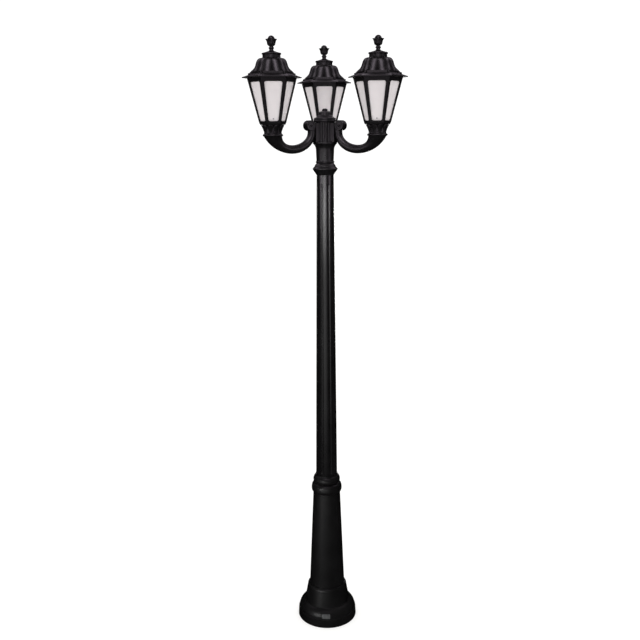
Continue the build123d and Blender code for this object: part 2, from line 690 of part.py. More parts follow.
def roof():
    """Six-sided roof: spreading eave, lobed dome with hip ribs, and a hollow underside."""
    eave_top = Z_EAVE + EAVE_EDGE
    edge = loft([hexagon(EAVE_R, Z_EAVE), hexagon(EAVE_R, eave_top)], ruled=True)
    slope = loft([hexagon(EAVE_R, eave_top), hexagon(EAVE_MID_R, slope_z(EAVE_MID_R) - EAVE_SAG),
                  hexagon(DOME_FOOT_R, slope_z(DOME_FOOT_R))])
    ledge = extrude(hexagon(LEDGE_R, slope_z(EAVE_MID_R)), amount=Z_DOME - slope_z(EAVE_MID_R))
    body = edge + slope + ledge + dome() + around(hip_rib(), 6)
    rail = hexagon(CAGE_TOP_R + LIFT_GAP / COS30, Z_EAVE)
    body -= extrude(rail, amount=EAVE_DROP)
    cavity_r = CAGE_TOP_R - GASKET_W / COS30
    cavity_top = Z_VENT - ROOF_CROWN_T
    chamber_top = Z_DOME - CHAMBER_T
    dome_cavity_r = (DOME_FOOT_R * CREASE_FOOT - ROOF_WALL) / COS30
    body -= loft([hexagon(cavity_r, Z_LAND), hexagon(CHAMBER_R, chamber_top)], ruled=True)
    body -= loft([hexagon(dome_cavity_r, chamber_top), hexagon(DOME_TOP_R - ROOF_WALL, cavity_top)],
                 ruled=True)
    return body - rod((0, 0, cavity_top), (0, 0, Z_VENT + VENT_H), STEM_R + SLIP)


def roof_cap():
    """Round cap on the dome: a short drum with a rolled rim and a low cone."""
    bore = STEM_R + SLIP
    rim_z = Z_VENT + VENT_H - VENT_RIM_H
    top = Z_VENT + VENT_H
    rim_r, top_r = VENT_R - VENT_DRAFT, VENT_R - 2 * VENT_DRAFT
    return lathe(
        Polyline((bore, Z_VENT), (VENT_R, Z_VENT), (rim_r, rim_z)),
        ThreePointArc((rim_r, rim_z), (VENT_RIM_R, rim_z + VENT_RIM_H / 2), (top_r, top)),
        Polyline((top_r, top), (FOOT_R, Z_FINIAL), (bore, Z_FINIAL), (bore, Z_VENT)),
    )


def finial():
    """Tulip on a beaded stem, with a petalled rim and a domed crown."""
    bead = Z_FINIAL + FINIAL_FOOT_H
    bead_top = bead + FINIAL_BEAD_H
    tulip = bead_top + FINIAL_NECK_H
    rim = tulip + TULIP_H
    top = rim + CROWN_H
    low = Z_VENT - ROOF_CROWN_T
    body = lathe(
        Polyline((0, low), (STEM_R, low), (STEM_R, Z_FINIAL), (FOOT_R, Z_FINIAL)),
        TangentArc((NECK_R, bead), (FOOT_R, Z_FINIAL), tangent=(0, -1)),
        ThreePointArc((NECK_R, bead), (BEAD_R, bead + FINIAL_BEAD_H / 2), (NECK_R, bead_top)),
        Line((NECK_R, bead_top), (NECK_R, tulip)),
        Spline((NECK_R, tulip), (TULIP_R, tulip + TULIP_H * TULIP_BELLY), (TULIP_RIM_R, rim),
               tangents=((1, 0.25), (1, 0.8))),
        Line((TULIP_RIM_R, rim), (CROWN_R, rim)),
        TangentArc((0, top), (CROWN_R, rim), tangent=(1, 0)),
        Line((0, top), (0, low)),
    )
    notch_s = TULIP_RIM_R + PETAL_NOTCH_R - PETAL_NOTCH_DEPTH
    notch = rod((notch_s, 0, tulip), (notch_s, 0, rim + CROWN_H / 2), PETAL_NOTCH_R)
    return body - around(notch, TULIP_PETALS, 180.0 / TULIP_PETALS)


def lampholder():
    """Screw holder that stands in the cup, open at the top."""
    bore = LAMP_CAP_R + LAMP_FIT
    top = Z_HOLDER + HOLDER_H
    floor = top - HOLDER_SOCKET_H
    return lathe(Polyline((0, Z_HOLDER), (HOLDER_R, Z_HOLDER), (HOLDER_R, top), (bore, top), (bore, floor),
                          (0, floor), close=True))


def lamp_cap():
    """Metal screw cap of the lamp, with its contact tip."""
    shoulder = Z_GLOBE - LAMP_CAP_H
    tip = shoulder - LAMP_TIP_H
    return lathe(Polyline((0, tip), (LAMP_TIP_R, tip), (LAMP_CAP_R, shoulder), (LAMP_CAP_R, Z_GLOBE),
                          (0, Z_GLOBE), close=True))


def lamp_globe():
    """Opal bulb that swells from the cap to a round head."""
    widest = Z_GLOBE + GLOBE_H - GLOBE_R
    return lathe(
        Line((0, Z_GLOBE), (GLOBE_NECK_R, Z_GLOBE)),
        Spline((GLOBE_NECK_R, Z_GLOBE), (GLOBE_R, widest), tangents=((0, 1), (0, 1))),
        RadiusArc((GLOBE_R, widest), (0, widest + GLOBE_R), -GLOBE_R),
        Line((0, widest + GLOBE_R), (0, Z_GLOBE)),
    )


# Fasteners


def set_screw(seat_r, z, outer_r):
    """Radial screw along +X whose point meets a round seat."""
    return rod((seat_r, 0, z), (outer_r - SET_SCREW_SINK, 0, z), SET_SCREW_R)


def bolt(head_seat, grip):
    """Cap screw along +Z: its head stands below the seat, its shank above."""
    head = rod((0, 0, head_seat - BOLT_HEAD_H), (0, 0, head_seat), BOLT_HEAD_R)
    return head + rod((0, 0, head_seat), (0, 0, head_seat + grip), BOLT_R)


def sleeve_set_screws():
    """Three screws that clamp the hub's sleeve on the core tube."""
    return around(set_screw(CORE_R, Z_SLEEVE + SLEEVE_SCREW_RISE, SLEEVE_FOOT_R), len(SIDES), -REAR_TURN)


def drum_screws():
    """Two screws that hold the drum down on the sleeve."""
    floor = Z_DRUM + DRUM_FLOOR
    screw = Pos(DRUM_SCREW_S, 0, floor) * Rot(180, 0, 0) * bolt(0, DRUM_FLOOR + BOLT_GRIP - SLIP)
    return around(screw, 2)


def arm_screws():
    """Two screws for each arm, put in from inside the drum."""
    grip = PAD_FACE - DRUM_CAVITY + ARM_FLANGE_T - ARM_BOLT_END - SLIP
    screws = []
    for rise in ARM_BOLT_RISES:
        screw = Pos(DRUM_CAVITY, 0, Z_DRUM + rise) * Rot(0, 90, 0) * bolt(0, grip)
        screws += around(screw, len(SIDES), REAR_TURN)
    return screws


def lantern_set_screws():
    """Three screws for each lantern, through its cup on to the arm's spigot."""
    ring = Compound(around(set_screw(SPIGOT_R, Z_CUP + CUP_SCREW_RISE, CUP_R), 3, 30))
    return [screw for group in to_lanterns(ring).values() for screw in group.solids()]


def save(name, shape):
    """Write one node; a list of solids becomes one group."""
    if isinstance(shape, list):
        shape = Compound(shape)
    export_step(shape, f"parts/{name}.step")


POST = (ground_flange, core_tube, base_bell, plinth_column, plinth_rings, shaft, shaft_collar, hub_sleeve,
        hub_drum, hub_cap, hub_finial, terminal_block)
FASTENERS = (sleeve_set_screws, drum_screws, arm_screws, lantern_set_screws)
LANTERN = (seat_ring, cup, cage, diffuser, gasket, roof, roof_cap, finial, lampholder, lamp_cap, lamp_globe)

os.makedirs("parts", exist_ok=True)
for piece in POST + FASTENERS:
    save(piece.__name__, piece())
for side, placed in zip(SIDES, around(arm(), len(SIDES), REAR_TURN)):
    save(f"arm_{side}", placed)
for piece in LANTERN:
    for side, placed in to_lanterns(piece()).items():
        save(f"{piece.__name__}_{side}", placed)
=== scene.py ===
"""Looks of a garden lamp post with three six-sided lanterns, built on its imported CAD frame."""
import logging
import math
from collections.abc import Mapping, Sequence
from dataclasses import dataclass
from enum import Enum

import bmesh
import bpy
from mathutils import Matrix, Vector
from mathutils.geometry import interpolate_bezier


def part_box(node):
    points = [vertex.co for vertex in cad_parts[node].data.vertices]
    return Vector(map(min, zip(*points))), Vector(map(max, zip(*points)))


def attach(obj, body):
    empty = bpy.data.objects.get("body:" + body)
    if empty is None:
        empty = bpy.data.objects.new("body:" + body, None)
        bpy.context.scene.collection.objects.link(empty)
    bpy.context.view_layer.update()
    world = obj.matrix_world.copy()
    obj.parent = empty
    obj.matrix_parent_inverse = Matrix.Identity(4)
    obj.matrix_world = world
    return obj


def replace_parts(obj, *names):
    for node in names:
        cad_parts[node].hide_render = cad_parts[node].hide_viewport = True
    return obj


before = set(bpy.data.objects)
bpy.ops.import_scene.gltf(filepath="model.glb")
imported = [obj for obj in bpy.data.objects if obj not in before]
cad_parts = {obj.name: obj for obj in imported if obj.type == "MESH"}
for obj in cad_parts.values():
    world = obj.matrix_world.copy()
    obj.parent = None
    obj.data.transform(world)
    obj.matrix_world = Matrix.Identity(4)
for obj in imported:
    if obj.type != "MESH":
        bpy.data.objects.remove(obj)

LOG = logging.getLogger("lamp_post")
MM = 0.001
POST = "post"
MOTTLE_DETAIL = 4.0
MOTTLE_SPAN = {"From Min": 0.3, "From Max": 0.7}
GRAIN_STRENGTH = 0.6
DUST_SLOPE = 0.25
# The lights on the head are very slightly violet.
HEAD_TONE = "#fdeefd"

Point = tuple[float, float]
Grid = list[list[Vector]]
Feed = bpy.types.NodeSocket | float | Sequence[float]


class Side(Enum):
    """The three lanterns, each with its turn on the spigot, in degrees."""

    REAR = 0.0
    LEFT = 7.0
    RIGHT = -7.0

    def node(self, piece: str) -> str:
        """Name the CAD node of a piece on this side."""
        return f"{piece}_{self.name.lower()}"


class Lights(Enum):
    """What a studio light shows on: the sheen of glossy surfaces, or the colour of dull ones."""

    SHEEN = "sheen"
    DULL = "dull"


class Pattern(Enum):
    """What breaks up a finish at close range."""

    GRAIN = "ShaderNodeTexNoise"
    SPANGLE = "ShaderNodeTexVoronoi"


def linear(code: str) -> tuple[float, float, float, float]:
    """Turn an sRGB hex colour into linear light.

    Args:
        code: Six hex digits after a hash, such as "#1a181a".

    Returns:
        Linear red, green and blue, and a full alpha.
    """
    parts = [int(code[i:i + 2], 16) / 255 for i in (1, 3, 5)]
    red, green, blue = (p / 12.92 if p <= 0.04045 else ((p + 0.055) / 1.055) ** 2.4 for p in parts)
    return red, green, blue, 1.0


def add(tree: bpy.types.NodeTree, kind: str, feeds: Mapping[str | int, Feed] | None = None,
        **settings: object) -> bpy.types.Node:
    """Add one node with its settings, and link or set its inputs.

    Args:
        tree: Node tree that takes the node.
        kind: Blender's type name of the node.
        feeds: Input name or number to the socket that feeds it, or to its fixed value.
        settings: Properties of the node itself.

    Returns:
        The new node.
    """
    node = tree.nodes.new(kind)
    for key, value in settings.items():
        setattr(node, key, value)
    for key, feed in (feeds or {}).items():
        if isinstance(feed, bpy.types.NodeSocket):
            tree.links.new(feed, node.inputs[key])
        else:
            node.inputs[key].default_value = feed
    return node


@dataclass(frozen=True)
class Finish:
    """A real material with the way its surface was made.

    Sizes are in millimetres. The two colours and the two roughnesses are the ends between which the
    broad mottling moves, and the pattern is the relief that shows at close range.
    """

    name: str
    dark: str
    pale: str
    smooth: float
    rough: float
    mottle: float
    grain: float
    relief: float
    pattern: Pattern = Pattern.GRAIN
    stretch: tuple[float, float, float] = (1.0, 1.0, 1.0)
    metallic: float = 0.0
    ior: float = 1.5
    coat: float = 0.0
    scatter: float = 0.0
    scatter_depth: float = 0.0
    dust: str = ""
    dust_share: float = 0.0

    def build(self) -> bpy.types.Material:
        """Make the material, once for each finish.

        Returns:
            The material, with its nodes.
        """
        made = bpy.data.materials.get(self.name)
        if made:
            return made
        material = bpy.data.materials.new(self.name)
        material.use_nodes = True
        tree = material.node_tree
        shader = tree.nodes["Principled BSDF"]
        place = add(tree, "ShaderNodeTexCoord").outputs["Object"]
        mottle = add(tree, "ShaderNodeTexNoise", {"Vector": place, "Scale": 1 / (self.mottle * MM),
                                                  "Detail": MOTTLE_DETAIL})
        spread = add(tree, "ShaderNodeMapRange", {"Value": mottle.outputs[0], **MOTTLE_SPAN})
        run = add(tree, "ShaderNodeMapping", {"Vector": place, "Scale": self.stretch})
        grain = add(tree, self.pattern.value, {"Vector": run.outputs[0], "Scale": 1 / (self.grain * MM)})
        colour = add(tree, "ShaderNodeMix", {"Factor": spread.outputs[0], "A": linear(self.dark),
                                             "B": linear(self.pale)}, data_type="RGBA").outputs["Result"]
        if self.dust:
            colour = self.dusted(tree, colour, spread.outputs[0])
        rough = add(tree, "ShaderNodeMapRange", {"Value": mottle.outputs[0], **MOTTLE_SPAN,
                                                 "To Min": self.smooth, "To Max": self.rough})
        bump = add(tree, "ShaderNodeBump", {"Height": grain.outputs[0], "Strength": GRAIN_STRENGTH,
                                            "Distance": self.relief * MM})
        tree.links.new(colour, shader.inputs["Base Color"])
        tree.links.new(rough.outputs[0], shader.inputs["Roughness"])
        tree.links.new(bump.outputs[0], shader.inputs["Normal"])
        shader.inputs["Metallic"].default_value = self.metallic
        shader.inputs["IOR"].default_value = self.ior
        shader.inputs["Coat Weight"].default_value = self.coat
        shader.inputs["Subsurface Weight"].default_value = self.scatter
        shader.inputs["Subsurface Scale"].default_value = self.scatter_depth * MM
        shader.inputs["Subsurface Radius"].default_value = (1.0, 1.0, 1.0)
        return material

    def dusted(self, tree: bpy.types.NodeTree, colour: bpy.types.NodeSocket,
               patches: bpy.types.NodeSocket) -> bpy.types.NodeSocket:
        """Lay a thin uneven dust on what faces up.

        Args:
            tree: The material's node tree.
            colour: Clean colour of the surface.
            patches: Mottling that breaks up the dust.

        Returns:
            Colour with the dust on it.
        """
        facing = add(tree, "ShaderNodeNewGeometry").outputs["Normal"]
        up = add(tree, "ShaderNodeSeparateXYZ", {0: facing}).outputs["Z"]
        lying = add(tree, "ShaderNodeMapRange", {"Value": up, "From Min": DUST_SLOPE, "From Max": 1.0,
                                                 "To Max": self.dust_share})
        share = add(tree, "ShaderNodeMath", {0: lying.outputs[0], 1: patches}, operation="MULTIPLY")
        mixed = add(tree, "ShaderNodeMix", {"Factor": share.outputs[0], "A": colour,
                                            "B": linear(self.dust)}, data_type="RGBA")
        return mixed.outputs["Result"]


# Moulded resin, black right through: deep black, a soft sheen and a fine tooled grain that blurs lights.
# The grain is drawn at 1.6 mm, three times its real size, so that it shows at all.
SATIN_RESIN = Finish("moulded_black_resin", dark="#0a090a", pale="#100f10", smooth=0.36, rough=0.44,
                     mottle=85.0, grain=1.6, relief=0.05, ior=1.42, dust="#2b2927", dust_share=0.12)
# The same resin from a polished mould: as black, but smooth, so that the flutes' edges stay crisp.
SMOOTH_RESIN = Finish("polish_moulded_black_resin", dark="#0a090a", pale="#100f10", smooth=0.22, rough=0.28,
                      mottle=85.0, grain=1.6, relief=0.03, ior=1.42, dust="#2b2927", dust_share=0.12)
# Opal acrylic, extruded: milky and nearly even, with a soft gloss and light that spreads inside it.
OPAL_ACRYLIC = Finish("extruded_opal_acrylic", dark="#d2cccd", pale="#d8d2d3", smooth=0.52, rough=0.60,
                      mottle=60.0, grain=9.0, relief=0.02, ior=1.45, scatter=0.25, scatter_depth=6.0)
# Hot-dip galvanised steel: grey zinc with crystals about 12 mm across.
ZINC_STEEL = Finish("hot_dip_galvanised_steel", dark="#7f8586", pale="#a6abac", smooth=0.34, rough=0.52,
                    mottle=40.0, grain=12.0, relief=0.03, pattern=Pattern.SPANGLE, metallic=1.0)
# Steel screws, blackened in oil: near black with a dull metal shine.
BLACK_STEEL = Finish("oil_blackened_steel", dark="#141416", pale="#222224", smooth=0.38, rough=0.50,
                     mottle=6.0, grain=0.8, relief=0.02, metallic=1.0)
# Solid rubber, moulded: flat dark grey with no shine.
SEAL_RUBBER = Finish("moulded_seal_rubber", dark="#171717", pale="#202020", smooth=0.75, rough=0.88,
                     mottle=20.0, grain=1.2, relief=0.04, ior=1.52)
# Polyamide, moulded: warm pale grey with a dull gloss.
POLYAMIDE = Finish("moulded_polyamide", dark="#cfccc2", pale="#dad7ce", smooth=0.42, rough=0.52,
                   mottle=15.0, grain=1.0, relief=0.02, ior=1.53)
# Porcelain, glazed: warm white under a clear glassy skin.
PORCELAIN = Finish("glazed_porcelain", dark="#e4dfd4", pale="#ece8de", smooth=0.14, rough=0.22,
                   mottle=18.0, grain=5.0, relief=0.02, ior=1.52, coat=0.6)
# Aluminium sheet, rolled: bright and a little streaky round the cap.
ROLLED_ALUMINIUM = Finish("rolled_aluminium", dark="#bfc1c3", pale="#d0d2d4", smooth=0.24, rough=0.36,
                          mottle=10.0, grain=1.5, relief=0.02, stretch=(1.0, 1.0, 6.0), metallic=1.0)
# Blown glass with a white lining: milky white under a clear gloss.
OPAL_GLASS = Finish("blown_opal_glass", dark="#efece5", pale="#f5f3ee", smooth=0.12, rough=0.20,
                    mottle=45.0, grain=14.0, relief=0.02, ior=1.52, coat=0.5)
# Aluminium plate, brushed from end to end and dyed grey: dull and dark with fine level streaks.
BRUSHED_PLATE = Finish("brushed_dyed_aluminium", dark="#434445", pale="#505152", smooth=0.36, rough=0.48,
                       mottle=8.0, grain=0.9, relief=0.02, stretch=(0.06, 1.0, 1.0), metallic=0.2)


@dataclass(frozen=True)
class Groove:
    """Shallow upright grooves, evenly spaced, that fade out at both ends. Sizes are in millimetres."""

    count: int
    depth: float
    low: float
    high: float
    narrowing: int = 3

    def cut(self, turn: float, z: float) -> float:
        """Give the depth of the grooves at one place.

        Args:
            turn: Angle round the axis, in radians.
            z: Height.

        Returns:
            How far the surface lies inside its outline.
        """
        if not self.low < z < self.high:
            return 0.0
        rise = math.sin(math.pi * (z - self.low) / (self.high - self.low))
        return self.depth * rise * (0.5 + 0.5 * math.cos(self.count * turn)) ** self.narrowing


@dataclass(frozen=True)
class Flutes:
    """Upright flutes with round floors and round ends, evenly spaced. Sizes are in millimetres."""

    count: int
    half_width: float
    depth: float
    radius: float
    low: float
    high: float

    def cut(self, turn: float, z: float) -> float:
        """Give the depth of the flutes at one place.

        Args:
            turn: Angle round the axis, in radians.
            z: Height.

        Returns:
            How far the surface lies inside its outline.
        """
        step = math.tau / self.count
        aside = (turn % step - step / 2) * self.radius
        beyond = max(self.low - z, z - self.high, 0.0)
        reach = math.hypot(aside, beyond)
        if reach >= self.half_width:
            return 0.0
        floor = (self.half_width**2 + self.depth**2) / (2 * self.depth)
        return math.sqrt(floor**2 - reach**2) - (floor - self.depth)


def dress(node: str, finish: Finish) -> None:
    """Put a finish on a CAD node.

    Args:
        node: Name of the node.
        finish: Finish that all its faces take.
    """
    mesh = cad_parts[node].data
    mesh.materials.clear()
    mesh.materials.append(finish.build())
    LOG.info("%s: %s", node, finish.name)


def meet(node: str, start: Vector, aim: Vector) -> tuple[Vector, Vector]:
    """Find where a straight line first meets a CAD node.

    Args:
        node: Name of the node.
        start: Point outside the node, in metres.
        aim: Way the line runs.

    Returns:
        The point met, and the surface's outward normal there.
    """
    found, place, normal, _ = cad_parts[node].ray_cast(start, aim.normalized())
    if not found:
        raise ValueError(f"the line from {start[:]} misses {node}")
    return place, normal


def sheet_mesh(parts: Sequence[tuple[Grid, Grid]], mesh_name: str) -> bpy.types.Mesh:
    """Close each pair of point grids, a front and a back, into one solid sheet.

    Args:
        parts: Front and back grids of each sheet, of one shape.
        mesh_name: Name of the mesh.

    Returns:
        A mesh that holds all the sheets.
    """
    shell = bmesh.new()
    for front, back in parts:
        rows, cols = len(front), len(front[0])
        face = [[shell.verts.new(p) for p in row] for row in front]
        rear = [[shell.verts.new(p) for p in row] for row in back]
        for i in range(rows - 1):
            for j in range(cols - 1):
                shell.faces.new((face[i][j], face[i][j + 1], face[i + 1][j + 1], face[i + 1][j]))
                shell.faces.new((rear[i + 1][j], rear[i + 1][j + 1], rear[i][j + 1], rear[i][j]))
        rim = [(0, j) for j in range(cols)] + [(i, cols - 1) for i in range(1, rows)]
        rim += [(rows - 1, j) for j in range(cols - 2, -1, -1)] + [(i, 0) for i in range(rows - 2, 0, -1)]
        for (i, j), (k, m) in zip(rim, rim[1:] + rim[:1]):
            shell.faces.new((face[k][m], face[i][j], rear[i][j], rear[k][m]))
    bmesh.ops.recalc_face_normals(shell, faces=shell.faces)
    mesh = bpy.data.meshes.new(mesh_name)
    shell.to_mesh(mesh)
    shell.free()
    mesh.shade_smooth()
    return mesh


def bend(knots: Sequence[Point], steps: int) -> list[Point]:
    """Draw a smooth curve from four points: its two ends, and the two handles between them.

    Args:
        knots: Radius and height of the start, its handle, the end's handle and the end.
        steps: Number of points on the curve.

    Returns:
        Points along the curve.
    """
    start, leave, arrive, end = (Vector((r, z, 0)) for r, z in knots)
    return [(p.x, p.y) for p in interpolate_bezier(start, leave, arrive, end, steps)]


def turned_mesh(outline: Sequence[Point], mesh_name: str, around: int,
                grooves: Groove | Flutes | None = None) -> bpy.types.Mesh:
    """Turn an outline round an upright axis into a closed solid.

    Args:
        outline: Radius and height of each point from the bottom up, in millimetres. The ends are capped.
        mesh_name: Name of the mesh.
        around: Number of points round the axis.
        grooves: Upright grooves or flutes cut in the side, if any.

    Returns:
        The mesh, with its axis on the origin.
    """
    shell = bmesh.new()
    rings = []
    for r, z in outline:
        ring = []
        for k in range(around):
            turn = math.tau * k / around
            reach = (r - (grooves.cut(turn, z) if grooves else 0.0)) * MM
            ring.append(shell.verts.new((reach * math.cos(turn), reach * math.sin(turn), z * MM)))
        rings.append(ring)
    for low, high in zip(rings, rings[1:]):
        for k in range(around):
            n = (k + 1) % around
            shell.faces.new((low[k], low[n], high[n], high[k]))
    shell.faces.new(rings[0][::-1])
    shell.faces.new(rings[-1])
    mesh = bpy.data.meshes.new(mesh_name)
    shell.to_mesh(mesh)
    shell.free()
    mesh.shade_smooth()
    return mesh


def place_piece(mesh: bpy.types.Mesh, finish: Finish, body: str) -> bpy.types.Object:
    """Put a new piece in the scene, on the body that carries it.

    Args:
        mesh: Its mesh, in the CAD frame.
        finish: Its finish.
        body: CAD body that it moves with.

    Returns:
        The new object.
    """
    piece = bpy.data.objects.new(mesh.name, mesh)
    bpy.context.scene.collection.objects.link(piece)
    mesh.materials.append(finish.build())
    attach(piece, body)
    LOG.info("%s: new piece, %s", piece.name, finish.name)
    return piece


@dataclass
class Foot:
    """Bell-shaped foot with its hidden ground flange, and a plain plate on the front.

    Sizes are in millimetres. The probe is how far in front of the post the lines start that find the bell.
    """

    plate_x: float = -6.5
    plate_width: float = 38.0
    plate_low: float = 43.0
    plate_high: float = 63.0
    plate_proud: float = 0.9
    plate_bed: float = 0.6
    plate_cells: int = 12
    corner_share: float = 0.12
    probe: float = 500.0

    def build(self) -> None:
        """Dress the CAD nodes and add the plate."""
        dress("base_bell", SATIN_RESIN)
        dress("ground_flange", ZINC_STEEL)
        place_piece(self.plate(), BRUSHED_PLATE, POST)

    def plate(self) -> bpy.types.Mesh:
        """Bend a round-cornered plate over the bell's shoulder.

        Returns:
            Mesh of the plate.
        """
        front: Grid = []
        back: Grid = []
        steps = [2 * i / self.plate_cells - 1 for i in range(self.plate_cells + 1)]
        middle, half = (self.plate_low + self.plate_high) / 2, (self.plate_high - self.plate_low) / 2
        for v in steps:
            faces, beds = [], []
            for u in steps:
                x = self.plate_x + u * math.sqrt(1 - self.corner_share * v * v) * self.plate_width / 2
                z = middle + v * math.sqrt(1 - self.corner_share * u * u) * half
                place, normal = meet("base_bell", Vector((x, -self.probe, z)) * MM, Vector((0, 1, 0)))
                faces.append(place + normal * self.plate_proud * MM)
                beds.append(place - normal * self.plate_bed * MM)
            front.append(faces)
            back.append(beds)
        return sheet_mesh([(front, back)], "plain_plate")


@dataclass
class Column:
    """Lower column, rings, fluted shaft and collar over the steel core. Sizes are in millimetres.

    Rings of points an edge away from the shaft's ends and the flutes' ends keep the shading clean there.
    """

    mouldings: tuple[str, ...] = ("plinth_column", "plinth_rings", "shaft_collar")
    foot_radius: float = 47.5
    top_radius: float = 35.8
    flute_count: int = 8
    flute_half_width: float = 4.6
    flute_depth: float = 2.8
    flute_foot: float = 16.0
    flute_head: float = 40.0
    flute_rows: int = 12
    edge: float = 0.4
    shaft_rows: int = 14
    shaft_around: int = 480

    def build(self) -> None:
        """Dress the CAD nodes and put the finely drawn shaft in place of the faceted one."""
        for node in self.mouldings:
            dress(node, SATIN_RESIN)
        dress("shaft", SMOOTH_RESIN)
        dress("core_tube", ZINC_STEEL)
        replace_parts(place_piece(self.shaft(), SMOOTH_RESIN, POST), "shaft")

    def shaft(self) -> bpy.types.Mesh:
        """Turn the tapering shaft, with crisp flutes that stop short of both ends.

        Returns:
            Mesh of the shaft.
        """
        low, high = (corner.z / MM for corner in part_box("shaft"))
        start, end = low + self.flute_foot, high - self.flute_head
        flutes = Flutes(self.flute_count, self.flute_half_width, self.flute_depth,
                        (self.foot_radius + self.top_radius) / 2, start, end)
        ends = [self.flute_half_width * i / self.flute_rows for i in range(self.flute_rows + 1)]
        ends.append(self.flute_half_width + self.edge)
        run = [start + (end - start) * i / self.shaft_rows for i in range(1, self.shaft_rows)]
        heights = [low, low + self.edge] + [start - d for d in reversed(ends)] + run
        heights += [end + d for d in ends] + [high - self.edge, high]
        taper = (self.top_radius - self.foot_radius) / (high - low)
        outline = [(self.foot_radius + taper * (z - low), z) for z in heights]
        return turned_mesh(outline, "fluted_shaft", self.shaft_around, flutes)


@dataclass
class Hub:
    """Sleeve, ribbed drum, lid and dome, with the screws and wiring block inside.

    Sizes are in millimetres and turns in degrees. A curve is radius and height at its ends and handles.
    """

    mouldings: tuple[str, ...] = ("hub_sleeve", "hub_drum", "hub_cap", "hub_finial")
    screws: tuple[str, ...] = ("sleeve_set_screws", "drum_screws", "arm_screws", "lantern_set_screws")
    dome_bead: tuple[Point, ...] = ((45.6, 2263.6), (45.8, 2269.0), (44.8, 2271.0), (41.5, 2270.6))
    dome_skirt: tuple[Point, ...] = ((40.6, 2270.4), (35.5, 2274.5), (28.5, 2279.0), (27.0, 2285.0))
    dome_shoulder: tuple[Point, ...] = ((27.0, 2285.0), (26.6, 2293.5), (22.5, 2297.4), (11.2, 2298.0))
    knob_curve: tuple[Point, ...] = ((11.2, 2298.6), (13.0, 2304.0), (9.4, 2308.4), (0.8, 2308.6))
    dome_grooves: Groove = Groove(count=10, depth=1.6, low=2272.0, high=2297.0)
    curve_steps: int = 18
    dome_around: int = 120
    heel_turns: tuple[float, ...] = (90.0, 210.0, 330.0)
    heel_inner: float = 40.0
    heel_outer: float = 52.0
    heel_width: float = 36.0
    heel_low: float = 2173.4
    heel_high: float = 2178.8

    def build(self) -> None:
        """Dress the CAD nodes, set the dome on the lid and the heels under the arms."""
        for node in self.mouldings:
            dress(node, SATIN_RESIN)
        for node in self.screws:
            dress(node, BLACK_STEEL)
        dress("terminal_block", POLYAMIDE)
        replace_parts(place_piece(self.dome(), SATIN_RESIN, POST), "hub_finial")
        place_piece(self.heels(), SATIN_RESIN, POST)

    def heels(self) -> bpy.types.Mesh:
        """Fill the slit between each arm's pad and the sleeve's lip with a low block.

        Returns:
            Mesh of the three blocks.
        """
        blocks = [(self.heel_face(turn, self.heel_high), self.heel_face(turn, self.heel_low))
                  for turn in self.heel_turns]
        mesh = sheet_mesh(blocks, "arm_heels")
        mesh.shade_flat()
        return mesh

    def heel_face(self, turn: float, z: float) -> Grid:
        """Lay out the corners of a block's top or bottom.

        Args:
            turn: Where the arm stands round the hub, in degrees.
            z: Height.

        Returns:
            The four corners.
        """
        stand = Matrix.Rotation(math.radians(turn), 4, "Z")
        reaches, sides = (self.heel_inner, self.heel_outer), (-self.heel_width / 2, self.heel_width / 2)
        return [[stand @ Vector((reach, side, z)) * MM for side in sides] for reach in reaches]

    def dome(self) -> bpy.types.Mesh:
        """Turn the hub's top: a flared skirt, a grooved shoulder and a round knob.

        Returns:
            Mesh of the dome.
        """
        outline: list[Point] = []
        for curve in (self.dome_bead, self.dome_skirt, self.dome_shoulder, self.knob_curve):
            points = bend(curve, self.curve_steps)
            joined = bool(outline) and outline[-1] == curve[0]
            outline += points[1:] if joined else points
        return turned_mesh(outline, "hub_dome", self.dome_around, self.dome_grooves)


